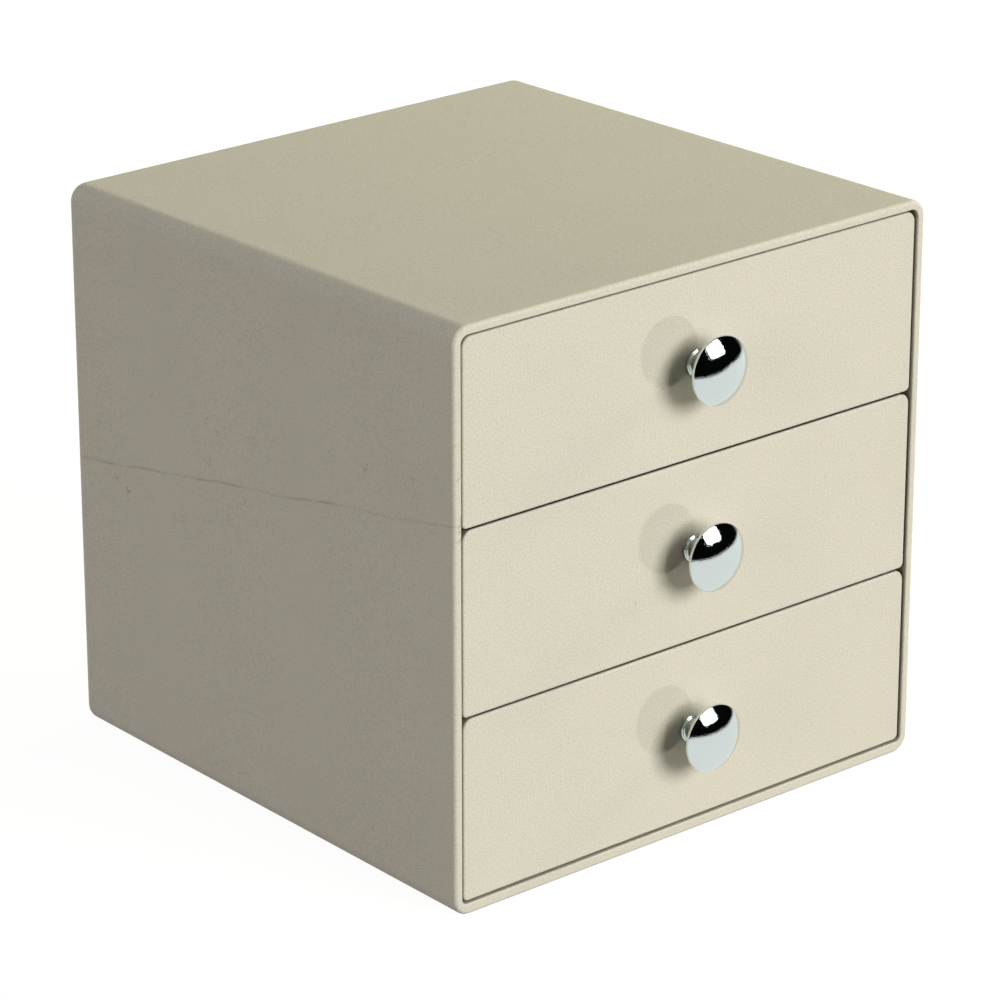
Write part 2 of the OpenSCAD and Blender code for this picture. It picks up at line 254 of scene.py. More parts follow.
def add_node(tree, kind, inputs=None, **settings):
    """Adds a node with its settings; an input is given a value, or the node or socket it is linked to."""
    node = tree.nodes.new(kind)
    for name, value in settings.items():
        setattr(node, name, value)
    for name, value in (inputs or {}).items():
        if isinstance(value, bpy.types.Node):
            value = next(socket for socket in value.outputs if socket.enabled)
        if isinstance(value, bpy.types.NodeSocket):
            tree.links.new(value, node.inputs[name])
        else:
            node.inputs[name].default_value = value
    return node


def new_material(name):
    """A material with no nodes yet, and its node tree."""
    material = bpy.data.materials.new(name)
    material.use_nodes = True
    material.node_tree.nodes.clear()
    return material, material.node_tree


def activate(piece):
    """Makes a piece the only selected and active object."""
    bpy.ops.object.select_all(action="DESELECT")
    piece.select_set(True)
    bpy.context.view_layer.objects.active = piece


@contextmanager
def editing(piece):
    """Edit mode on one piece."""
    activate(piece)
    bpy.ops.object.mode_set(mode="EDIT")
    yield
    bpy.ops.object.mode_set(mode="OBJECT")


def pick(piece, kind, test):
    """In edit mode, selects only the vertices, edges or faces of a piece that pass a test."""
    bpy.ops.mesh.select_mode(type=kind)
    bpy.ops.mesh.select_all(action="DESELECT")
    mesh = bmesh.from_edit_mesh(piece.data)
    for item in {"VERT": mesh.verts, "EDGE": mesh.edges, "FACE": mesh.faces}[kind]:
        if test(item):
            item.select_set(True)
    mesh.select_flush_mode()
    bmesh.update_edit_mesh(piece.data)


def along(e, axis):
    """Whether an edge runs along an axis."""
    return abs(getattr((e.verts[0].co - e.verts[1].co).normalized(), axis)) > ALONG


def sharp(e):
    """Whether the faces of an edge meet at a sharp angle."""
    return e.calc_face_angle(0) > SHARP


def pick_sharp(piece, test):
    """In edit mode, selects the sharp edges whose two ends both pass a test."""
    pick(piece, "EDGE", lambda e: sharp(e) and all(test(v.co) for v in e.verts))


def clear_ring(piece, in_ring):
    """In edit mode, leaves a flat ring of faces only two seams in its middle, so its edges round evenly."""
    bpy.ops.mesh.select_all(action="SELECT")
    bpy.ops.mesh.bisect(plane_co=(0, 0, 0), plane_no=(1, 0, 0))

    def off_middle(e):
        return any(abs(v.co.x) > NEAR for v in e.verts)

    pick(piece, "EDGE", lambda e: all(in_ring(f) for f in e.link_faces) and off_middle(e))
    bpy.ops.mesh.dissolve_edges()


def bevel(radius, segments):
    """Rounds the selected edges."""
    bpy.ops.mesh.bevel(offset=radius, segments=segments, affect="EDGES", clamp_overlap=True)


def add_block(name, low, high):
    """A block between two corners, with its place in its mesh."""
    bpy.ops.object.select_all(action="DESELECT")
    bpy.ops.mesh.primitive_cube_add(size=1, location=(low + high) / 2, scale=high - low)
    bpy.ops.object.transform_apply(location=True, rotation=True, scale=True)
    block = bpy.context.object
    block.name = block.data.name = name
    return block


def combine(piece, tool, operation):
    """Joins a tool to a piece, or cuts it away, and removes the tool."""
    activate(piece)
    bpy.ops.object.modifier_add(type="BOOLEAN")
    modifier = piece.modifiers[-1]
    modifier.operation = operation
    modifier.solver = "MANIFOLD"
    modifier.object = tool
    bpy.ops.object.modifier_apply(modifier=modifier.name)
    bpy.data.objects.remove(tool)
    if not piece.data.polygons:
        raise RuntimeError(f"{piece.name} came out of its boolean empty")


def smooth(piece):
    """Smooth shading over the roundings, with the flat faces kept flat."""
    activate(piece)
    bpy.ops.object.shade_smooth_by_angle(angle=SMOOTH_ANGLE)
    bpy.ops.object.modifier_add(type="WEIGHTED_NORMAL")
    piece.modifiers[-1].keep_sharp = True
    bpy.ops.object.modifier_apply(modifier=piece.modifiers[-1].name)


def at_places(first, name, node):
    """Copies of a piece modelled at the bottom place, one for each place, each with its own mesh there."""
    pieces = {}
    rest_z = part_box(f"{node}_bottom")[0].z
    for place in PLACES:
        piece = first.copy()
        piece.data = first.data.copy()
        piece.name = piece.data.name = f"{name}_{place}"
        bpy.context.collection.objects.link(piece)
        piece.location.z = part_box(f"{node}_{place}")[0].z - rest_z
        activate(piece)
        bpy.ops.object.transform_apply(location=True)
        pieces[place] = piece
    bpy.data.objects.remove(first)
    return pieces


def dress(piece, material, body, node):
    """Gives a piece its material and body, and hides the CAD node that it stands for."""
    piece.data.materials.clear()
    piece.data.materials.append(material)
    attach(piece, body)
    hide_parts(node)


def occlusion_shade(tree, reach, closed, clear, least):
    """Painted shade from ambient occlusion: least where what lies within reach closes a place in, and 1
    where it is clear.

    It counts as closed in, or as clear, where that share of the directions is open.
    """
    cover = add_node(tree, "ShaderNodeAmbientOcclusion", {"Distance": reach}, samples=8)
    return add_node(tree, "ShaderNodeMapRange", {"Value": cover.outputs["AO"], "From Min": closed,
                                                 "From Max": clear, "To Min": least})


def moulded_plastic(name, plastic, painted_gap_shade, painted_nook_shade, streak=None):
    """Moulded plastic from a spark-eroded tool: dull and even, with a fine grain, a few flecks, and painted
    shade darkening its gaps and nooks.
    """
    material, tree = new_material(name)
    place = add_node(tree, "ShaderNodeTexCoord").outputs["Object"]
    # Spark erosion leaves pits that scatter the light
    grain = add_node(tree, "ShaderNodeTexNoise", {"Vector": place, "Scale": 1 / PIT, "Detail": 3.0,
                                                  "Roughness": 0.6})
    pitted = add_node(tree, "ShaderNodeMapRange", {"Value": grain, "From Min": 0.3, "From Max": 0.7,
                                                   "To Min": 0.87, "To Max": 1.13})
    # The pigment is not quite evenly mixed
    cloud = add_node(tree, "ShaderNodeTexNoise", {"Vector": place, "Scale": 1 / CLOUD, "Detail": 4.0})
    darker = [c * 0.97 for c in plastic[:3]] + [1.0]
    lighter = [min(c * 1.025, 1.0) for c in plastic[:3]] + [1.0]
    mixed = add_node(tree, "ShaderNodeMix", {0: cloud, 6: darker, 7: lighter}, data_type="RGBA")
    # A fleck of burnt plastic shows every centimetre or two
    fleck = add_node(tree, "ShaderNodeTexVoronoi", {"Vector": place, "Scale": 1 / FLECK_SPACING})
    speck = add_node(tree, "ShaderNodeMapRange", {"Value": fleck.outputs["Distance"], "From Min": 0.028,
                                                  "From Max": 0.014, "To Max": 0.5})
    tone = add_node(tree, "ShaderNodeMix", {0: speck, 6: mixed, 7: linear("6B6252")}, data_type="RGBA")
    if streak:
        tone = streak(tree, place, tone)
    # Painted shade: ambient occlusion darkens the colour in narrow gaps, and more weakly in nooks such as
    # under the knob caps
    gaps = occlusion_shade(tree, GAP_REACH, closed=0.1, clear=0.45, least=painted_gap_shade)
    nooks = occlusion_shade(tree, NOOK_REACH, closed=0.2, clear=0.8, least=painted_nook_shade)
    painted_shade = add_node(tree, "ShaderNodeMath", {0: gaps, 1: nooks}, operation="MULTIPLY")
    depth = add_node(tree, "ShaderNodeMath", {0: pitted, 1: painted_shade}, operation="MULTIPLY")
    tinted = add_node(tree, "ShaderNodeVectorMath", {0: tone, "Scale": depth}, operation="SCALE")
    # The painted shade also dims the specular in the gaps and nooks
    sheen = add_node(tree, "ShaderNodeMath", {0: painted_shade, 1: 0.3}, operation="MULTIPLY")
    dullness = add_node(tree, "ShaderNodeMapRange", {"Value": grain, "From Min": 0.3, "From Max": 0.7,
                                                     "To Min": 0.58, "To Max": 0.7})
    relief = add_node(tree, "ShaderNodeBump", {"Strength": 0.6, "Distance": PIT_DEPTH, "Height": grain})
    shader = add_node(tree, "ShaderNodeBsdfPrincipled", {
        "Base Color": tinted, "Roughness": dullness, "IOR": 1.5, "Specular IOR Level": sheen,
        "Normal": relief})
    add_node(tree, "ShaderNodeOutputMaterial", {"Surface": shader})
    return material


def flow_line(sizes):
    """The faint brownish line where two streams of melt met, which climbs along the case's left wall."""
    low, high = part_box("case")

    def streak(tree, place, tone):
        at = add_node(tree, "ShaderNodeSeparateXYZ", {"Vector": place})
        on_left = add_node(tree, "ShaderNodeMath", {0: at.outputs["X"], 1: low.x + sizes.edge_radius},
                           operation="LESS_THAN")
        level = add_node(tree, "ShaderNodeMapRange", {
            "Value": at.outputs["Y"], "From Min": low.y, "From Max": high.y,
            "To Min": sizes.flow_front, "To Max": sizes.flow_back})
        # It wanders by about a millimetre over every few centimetres
        wander = add_node(tree, "ShaderNodeTexNoise", {"Vector": place, "Scale": 1 / BEND, "Detail": 3.0})
        wavy = add_node(tree, "ShaderNodeMath", {0: wander, 1: BEND_HEIGHT, 2: level},
                        operation="MULTIPLY_ADD")
        off = add_node(tree, "ShaderNodeMath", {0: at.outputs["Z"], 1: wavy}, operation="SUBTRACT")
        away = add_node(tree, "ShaderNodeMath", {0: off}, operation="ABSOLUTE")
        line = add_node(tree, "ShaderNodeMapRange", {"Value": away, "From Min": sizes.flow_width,
                                                     "From Max": 0.0}, interpolation_type="SMOOTHSTEP")
        faint = add_node(tree, "ShaderNodeTexNoise", {"Vector": place, "Scale": 1 / FAINT_STRETCH,
                                                      "Detail": 3.0})
        strength = add_node(tree, "ShaderNodeMapRange", {"Value": faint, "From Min": 0.3, "From Max": 0.65,
                                                         "To Min": 0.02, "To Max": 0.36})
        shown = add_node(tree, "ShaderNodeMath", {0: line, 1: on_left}, operation="MULTIPLY")
        amount = add_node(tree, "ShaderNodeMath", {0: shown, 1: strength}, operation="MULTIPLY")
        # Crumbs of burnt plastic lie round it in loose clusters
        near = add_node(tree, "ShaderNodeMapRange", {
            "Value": away, "From Min": CLUSTERS_FROM, "From Max": CLUSTERS_TO},
            interpolation_type="SMOOTHSTEP")
        cluster = add_node(tree, "ShaderNodeTexNoise", {"Vector": place, "Scale": 1 / CLUSTER,
                                                        "Detail": 3.0})
        crowded = add_node(tree, "ShaderNodeMapRange", {"Value": cluster, "From Min": 0.62,
                                                        "From Max": 0.7})
        crumb = add_node(tree, "ShaderNodeTexNoise", {"Vector": place, "Scale": 1 / CRUMB, "Detail": 2.0})
        dark = add_node(tree, "ShaderNodeMapRange", {"Value": crumb, "From Min": 0.5, "From Max": 0.62,
                                                     "To Max": 0.4})
        around = add_node(tree, "ShaderNodeMath", {0: near, 1: on_left}, operation="MULTIPLY")
        loose = add_node(tree, "ShaderNodeMath", {0: crowded, 1: dark}, operation="MULTIPLY")
        both = add_node(tree, "ShaderNodeMath", {0: around, 1: loose, 2: amount}, operation="MULTIPLY_ADD")
        return add_node(tree, "ShaderNodeMix", {0: both, 6: tone, 7: sizes.flow_colour}, data_type="RGBA")

    return streak


def chrome_plate(name, chrome):
    """Bright chrome plate on a die-cast knob: a mirror with a trace of handling."""
    material, tree = new_material(name)
    place = add_node(tree, "ShaderNodeTexCoord").outputs["Object"]
    # Fingers leave a faint film in patches
    film = add_node(tree, "ShaderNodeTexNoise", {"Vector": place, "Scale": 1 / FILM, "Detail": 3.0})
    gloss = add_node(tree, "ShaderNodeMapRange", {"Value": film, "From Min": 0.35, "From Max": 0.7,
                                                  "To Min": 0.02, "To Max": 0.06})
    # The casting under the plate was not polished quite flat
    ripple = add_node(tree, "ShaderNodeTexNoise", {"Vector": place, "Scale": 1 / RIPPLE, "Detail": 2.0})
    relief = add_node(tree, "ShaderNodeBump", {"Strength": 0.8, "Distance": RIPPLE_DEPTH, "Height": ripple})
    shader = add_node(tree, "ShaderNodeBsdfPrincipled", {
        "Base Color": chrome, "Metallic": 1.0, "Roughness": gloss, "Normal": relief})
    add_node(tree, "ShaderNodeOutputMaterial", {"Surface": shader})
    return material


def zinc_plate(name):
    """Zinc-plated steel, as rolled and tumbled: grey, slightly cloudy metal."""
    material, tree = new_material(name)
    place = add_node(tree, "ShaderNodeTexCoord").outputs["Object"]
    # Zinc crystallises in spangles, shinier in their middles
    spangle = add_node(tree, "ShaderNodeTexVoronoi", {"Vector": place, "Scale": 1 / SPANGLE})
    gloss = add_node(tree, "ShaderNodeMapRange", {"Value": spangle.outputs["Distance"], "From Max": 0.8,
                                                  "To Min": 0.24, "To Max": 0.42})
    tone = add_node(tree, "ShaderNodeMix", {0: spangle.outputs["Distance"], 6: linear("B4B6B6"),
                                            7: linear("9C9FA1")}, data_type="RGBA")
    shader = add_node(tree, "ShaderNodeBsdfPrincipled", {
        "Base Color": tone, "Metallic": 1.0, "Roughness": gloss})
    add_node(tree, "ShaderNodeOutputMaterial", {"Surface": shader})
    return material


def add_runner(sizes, low, high, on_floor):
    """One runner between two corners, with a sloping lead-in; one on the wall is thinner at its edge."""
    runner = add_block("runner", low, high)
    free_x, root_x = sorted((low.x, high.x), key=abs)
    with editing(runner):
        pick(runner, "VERT", lambda v: True)
        bpy.ops.mesh.bisect(plane_co=(0, low.y + sizes.lead_in, 0), plane_no=(0, 1, 0))
        pick(runner, "VERT", lambda v: v.co.y < low.y + NEAR and v.co.z > high.z - NEAR)
        bpy.ops.transform.translate(value=(0, 0, -sizes.lead_drop))
        if on_floor:
            # Its root stays inside the case's rounded lower edge
            inwards = (sizes.wall - sizes.side_draft) / 2 + sizes.cavity_floor_radius
            pick(runner, "VERT", lambda v: abs(v.co.x - root_x) < NEAR and v.co.z < low.z + NEAR)
            bpy.ops.transform.translate(value=(-math.copysign(inwards, root_x), 0, 0))
        else:
            pick(runner, "VERT", lambda v: abs(v.co.x - free_x) < NEAR and v.co.z < low.z + NEAR)
            bpy.ops.transform.translate(value=(0, 0, sizes.runner_root - sizes.runner_tip))
    return runner


class ORGANIZER_OT_mould_case(bpy.types.Operator):
    """Model the one-piece case: a drafted shell, open at the front, with the drawers' runners inside"""

    bl_idname = "organizer.mould_case"
    bl_label = "Mould case"

    def execute(self, context):
        sizes = context.scene.organizer_case
        low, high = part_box("case")
        case = add_block("case_moulding", low, high)
        cavity_back = high.y - sizes.wall
        self.hollow(case, sizes, low, high, cavity_back)
        self.round_edges(case, sizes, low, high, cavity_back)
        self.add_runners(case, sizes, context.scene.organizer_drawers, high, cavity_back)
        smooth(case)
        # The case's gaps and nooks get a lighter painted shade than the drawers'
        plastic = moulded_plastic("spark_eroded_plastic_case", sizes.plastic, painted_gap_shade=0.9, painted_nook_shade=0.65,
                                  streak=flow_line(sizes))
        dress(case, plastic, "case", "case")
        return {"FINISHED"}

    def hollow(self, case, sizes, low, high, cavity_back):
        """Leans the walls in towards the back and sinks the cavity into the front."""
        with editing(case):
            pick(case, "FACE", lambda f: f.normal.y < -ALONG)
            bpy.ops.mesh.inset(thickness=sizes.wall)
            mouth = [v.index for v in bmesh.from_edit_mesh(case.data).verts if v.select]
            pick(case, "VERT", lambda v: v.index in mouth and v.co.z < high.z / 2)
            bpy.ops.transform.translate(value=(0, 0, sizes.floor - sizes.wall))
            pick(case, "FACE", lambda f: f.normal.y < -ALONG and all(v.index in mouth for v in f.verts))
            bpy.ops.mesh.extrude_region_move(TRANSFORM_OT_translate={"value": (0, cavity_back - low.y, 0)})
            for y in (cavity_back, high.y):
                share = (y - low.y) / (high.y - low.y)
                pick(case, "VERT", lambda v: abs(v.co.y - y) < NEAR)
                wide = max(v.co.x for v in bmesh.from_edit_mesh(case.data).verts if v.select)
                bpy.ops.transform.resize(value=(1 - sizes.side_draft * share / wide, 1, 1),
                                         center_override=(0, y, 0))
                pick(case, "VERT", lambda v: abs(v.co.y - y) < NEAR and v.co.z > high.z / 2)
                bpy.ops.transform.translate(value=(0, 0, -sizes.top_draft * share))

    def round_edges(self, case, sizes, low, high, cavity_back):
        """Rounds the long edges, the back, the cavity and the rim."""
        # What lies within most of a wall's thickness of the outside belongs to it
        skin = 0.8 * sizes.wall

        def outside(p):
            lean = (p.y - low.y) / (high.y - low.y)
            half = high.x - sizes.side_draft * lean
            top = high.z - sizes.top_draft * lean
            return abs(p.x) > half - skin or p.z < low.z + skin or p.z > top - skin

        def long_edge(e):
            return sharp(e) and along(e, "y")

        with editing(case):
            clear_ring(case, lambda f: all(v.co.y < low.y + NEAR for v in f.verts))
            pick(case, "EDGE", lambda e: long_edge(e) and outside(e.verts[0].co))
            bevel(sizes.edge_radius, segments=10)
            pick(case, "EDGE", lambda e: long_edge(e) and e.verts[0].co.z > high.z / 2)
            bevel(sizes.cavity_radius, segments=8)
            pick(case, "EDGE", long_edge)
            bevel(sizes.cavity_floor_radius, segments=8)
            pick_sharp(case, lambda p: p.y > high.y - NEAR)
            bevel(sizes.back_radius, segments=8)
            pick_sharp(case, lambda p: abs(p.y - cavity_back) < NEAR)
            bevel(sizes.cavity_back_radius, segments=4)
            pick_sharp(case, lambda p: p.y < low.y + NEAR and outside(p))
            bevel(sizes.rim_radius, segments=5)
            pick_sharp(case, lambda p: p.y < low.y + NEAR and not outside(p))
            bevel(sizes.mouth_radius, segments=3)

    def add_runners(self, case, sizes, drawers, high, cavity_back):
        """Joins a pair of runners to the walls for each drawer."""
        inner_x = high.x - sizes.wall - sizes.runner_width
        root_x = high.x - (sizes.wall + sizes.side_draft) / 2
        for place in PLACES:
            drawer_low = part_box(f"drawer_{place}")[0]
            top = drawer_low.z + drawers.skirt - drawers.slide_gap
            on_floor = place == PLACES[0]
            bottom = sizes.floor / 2 if on_floor else top - sizes.runner_root
            front = drawer_low.y + drawers.front_thickness + drawers.slide_gap
            back = cavity_back + sizes.wall / 2
            for side in (-1, 1):
                left, right = sorted((side * inner_x, side * root_x))
                runner = add_runner(sizes, Vector((left, front, bottom)), Vector((right, back, top)),
                                    on_floor)
                combine(case, runner, "UNION")


class ORGANIZER_OT_mould_drawers(bpy.types.Operator):
    """Model the drawer moulding, a rounded tub with its front in one, and place the three copies"""

    bl_idname = "organizer.mould_drawers"
    bl_label = "Mould drawers"

    def execute(self, context):
        sizes = context.scene.organizer_drawers
        for place, drawer in at_places(self.model(sizes), "drawer_moulding", "drawer").items():
            # Each drawer gets its own strength of painted shade in its gaps, and painted shade under its
            # knob
            material = moulded_plastic(f"spark_eroded_plastic_drawer_{place}", sizes.plastic,
                                       painted_gap_shade=PAINTED_GAP_SHADES[place], painted_nook_shade=0.4)
            dress(drawer, material, f"drawer_{place}", f"drawer_{place}")
        return {"FINISHED"}

    def model(self, sizes):
        """One drawer at the bottom place."""
        low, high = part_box("drawer_bottom")
        drawer = self.front(sizes, low, high)
        combine(drawer, self.tub(sizes, low, high), "UNION")
        hole_z = sum(corner.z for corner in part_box("knob_bottom")) / 2
        # The drill is long enough to pass right through the front
        bpy.ops.object.select_all(action="DESELECT")
        bpy.ops.mesh.primitive_cylinder_add(vertices=sizes.hole_facets, radius=sizes.hole / 2,
                                            depth=4 * sizes.front_thickness, location=(0, low.y, hole_z),
                                            rotation=(math.pi / 2, 0, 0))
        combine(drawer, bpy.context.object, "DIFFERENCE")
        smooth(drawer)
        return drawer

    def front(self, sizes, low, high):
        """The front panel, rounded round its face."""
        front = add_block("drawer_front", low, Vector((high.x, low.y + sizes.front_thickness, high.z)))
        with editing(front):
            pick(front, "EDGE", lambda e: along(e, "y") and e.verts[0].co.z > high.z - NEAR)
            bevel(sizes.corner_radius, segments=8)
            pick(front, "EDGE", lambda e: along(e, "y") and sharp(e))
            bevel(sizes.lower_radius, segments=8)
            pick_sharp(front, lambda p: p.y < low.y + NEAR)
            bevel(sizes.face_radius, segments=5)
        return front

    def tub(self, sizes, low, high):
        """The open tub, narrower at its floor, with all its edges rounded."""
        under = low.z + sizes.skirt
        rim = under + sizes.tub_height
        front = low.y + sizes.front_thickness - sizes.tub_wall
        side = high.x - sizes.tub_inset
        tub = add_block("tub", Vector((-side, front, under)), Vector((side, high.y, rim)))

        def upright(e):
            return along(e, "z") and sharp(e)

        # Halfway between the tub's inner edge at its rim and its outer edge at its floor
        skin = (sizes.tub_wall + sizes.tub_draft) / 2

        def inside(p):
            return abs(p.x) < side - skin and front + skin < p.y < high.y - skin

        with editing(tub):
            pick(tub, "FACE", lambda f: f.normal.z > ALONG)
            bpy.ops.mesh.inset(thickness=sizes.tub_wall)
            bpy.ops.mesh.extrude_region_move(
                TRANSFORM_OT_translate={"value": (0, 0, sizes.tub_floor - sizes.tub_height)})
            for z in (under, under + sizes.tub_floor):
                lean = sizes.tub_draft * (rim - z) / sizes.tub_height
                pick(tub, "VERT", lambda v: abs(v.co.z - z) < NEAR)
                wide = max(v.co.x for v in bmesh.from_edit_mesh(tub.data).verts if v.select)
                bpy.ops.transform.resize(value=(1 - lean / wide, 1, 1), center_override=(0, 0, z))
                pick(tub, "VERT", lambda v: abs(v.co.z - z) < NEAR and v.co.y > 0)
                bpy.ops.transform.translate(value=(0, -lean, 0))
            clear_ring(tub, lambda f: all(v.co.z > rim - NEAR for v in f.verts))
            pick(tub, "EDGE", lambda e: upright(e) and not inside(e.verts[0].co))
            bevel(sizes.tub_corner, segments=8)
            pick(tub, "EDGE", upright)
            bevel(sizes.tub_corner - sizes.tub_wall, segments=8)
            pick_sharp(tub, lambda p: p.z < under + NEAR)
            bevel(sizes.tub_bottom, segments=5)
            pick_sharp(tub, lambda p: abs(p.z - under - sizes.tub_floor) < NEAR)
            bevel(sizes.tub_inside, segments=8)
            # The rounding along the floor runs together with the corners' in one point each
            bpy.ops.mesh.select_all(action="SELECT")
            bpy.ops.mesh.remove_doubles(threshold=NEAR)
            bpy.ops.mesh.normals_make_consistent(inside=False)
            pick_sharp(tub, lambda p: p.z > rim - NEAR)
            bevel(sizes.tub_rim, segments=3)
        return tub


def arc(r, h, radius, start, end, steps=8):
    """Points of an arc about a centre in a half section, between two angles in degrees."""
    turns = (math.radians(start + (end - start) * i / steps) for i in range(steps + 1))
    return [(r + radius * math.cos(a), h + radius * math.sin(a)) for a in turns]


class ORGANIZER_OT_turn_knobs(bpy.types.Operator):
    """Turn the chrome knob, with foot, slim neck and domed cap in one, and place the three copies"""

    bl_idname = "organizer.turn_knobs"
    bl_label = "Turn knobs"

    def execute(self, context):
        sizes = context.scene.organizer_knobs
        for place, knob in at_places(self.model(sizes), "turned_knob", "knob").items():
            chrome = chrome_plate(f"bright_chrome_knob_{place}", sizes.chrome)
            dress(knob, chrome, f"drawer_{place}", f"knob_{place}")
        return {"FINISHED"}

    def half_section(self, sizes):
        """The knob's outline from the middle of its foot to the top of its dome, as radius and height."""
        neck, foot = sizes.neck / 2, sizes.foot / 2
        # Half of the foot's ledge goes to its rounded edge, and half to the hollow curve up to the neck
        ledge = (foot - neck) / 2
        under = sizes.standoff - sizes.slope
        edge = sizes.cap / 2 - sizes.band_edge
        band_high = sizes.standoff + sizes.band - sizes.band_edge
        # The dome runs into the band's rounded edge without a crease
        reach = sizes.dome - sizes.band_edge
        tilt = math.degrees(math.asin(edge / reach))
        centre = band_high - reach * math.cos(math.radians(tilt))
        return [
            (0, 0), (foot, 0),
            *arc(foot - ledge, sizes.foot_thickness - ledge, ledge, 0, 90),
            *arc(neck + ledge, sizes.foot_thickness + ledge, ledge, 270, 180),
            *arc(neck + sizes.collar, under - sizes.collar, sizes.collar, 180, 90),
            *arc(edge, sizes.standoff + sizes.band_edge, sizes.band_edge, -90, 0),
            *arc(edge, band_high, sizes.band_edge, 0, 90 - tilt),
            *arc(0, centre, sizes.dome, 90 - tilt, 90, steps=24),
        ]

    def model(self, sizes):
        """The knob at the bottom place: its half section drawn point by point, and spun round its axis."""
        low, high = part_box("knob_bottom")
        axis = Vector((0, high.y, (low.z + high.z) / 2))
        bpy.ops.object.select_all(action="DESELECT")
        bpy.ops.mesh.primitive_plane_add(size=sizes.foot, location=axis)
        bpy.ops.object.transform_apply(location=True)
        knob = bpy.context.object
        section = self.half_section(sizes)
        with editing(knob):
            pick(knob, "VERT", lambda v: True)
            bpy.ops.mesh.merge(type="CENTER")
            for (r, h), (next_r, next_h) in zip(section, section[1:]):
                bpy.ops.mesh.extrude_region_move(
                    TRANSFORM_OT_translate={"value": (next_r - r, h - next_h, 0)})
            bpy.ops.mesh.select_all(action="SELECT")
            bpy.ops.mesh.spin(steps=sizes.facets, angle=math.tau, center=axis, axis=(0, 1, 0))
            bpy.ops.mesh.select_all(action="SELECT")
            # The facets next to the pole of the dome are hardly wider than what counts as near
            bpy.ops.mesh.remove_doubles(threshold=NEAR / 10)
            bpy.ops.mesh.normals_make_consistent(inside=False)
        if not knob.data.polygons:
            raise RuntimeError("the knob came out of its spin empty")
        bpy.ops.object.shade_smooth_by_angle(angle=SMOOTH_ANGLE)
        return knob


class ORGANIZER_OT_plate_fasteners(bpy.types.Operator):
    """Give the screws and washers their zinc"""

    bl_idname = "organizer.plate_fasteners"
    bl_label = "Plate fasteners"

    def execute(self, context):
        for place in PLACES:
            for part in ("knob_screw", "knob_washer"):
                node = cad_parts[f"{part}_{place}"]
                node.material_slots[0].material = zinc_plate(f"zinc_{part}_{place}")
        return {"FINISHED"}


def direction(azimuth, elevation):
    """The direction at an azimuth, from straight in front towards the right, and an elevation."""
    return Vector((math.sin(azimuth) * math.cos(elevation), -math.cos(azimuth) * math.cos(elevation),
                   math.sin(elevation)))


def add_lamp(name, azimuth, elevation, energy, kind="AREA", distance=LAMP_DISTANCE, **settings):
    """A lamp aimed at the middle of the organizer from an azimuth and an elevation."""
    lamp = bpy.data.lights.new(name, kind)
    lamp.energy = energy
    for setting, value in settings.items():
        setattr(lamp, setting, value)
    towards = direction(azimuth, elevation)
    holder = bpy.data.objects.new(name, lamp)
    holder.location = (CAD_BOX[0] + CAD_BOX[1]) / 2 + towards * distance
    holder.rotation_euler = (-towards).to_track_quat("-Z", "Y").to_euler()
    bpy.context.scene.collection.objects.link(holder)
    return holder


def mirrored(tree):
    """1 for what the chrome mirrors to the camera, and 0 for light that a mirror throws on anything."""
    path = add_node(tree, "ShaderNodeLightPath")
    direct = add_node(tree, "ShaderNodeMath", {0: path.outputs["Diffuse Depth"], 1: 0.5},
                      operation="LESS_THAN")
    return add_node(tree, "ShaderNodeMath", {0: path.outputs["Is Glossy Ray"], 1: direct},
                    operation="MULTIPLY")


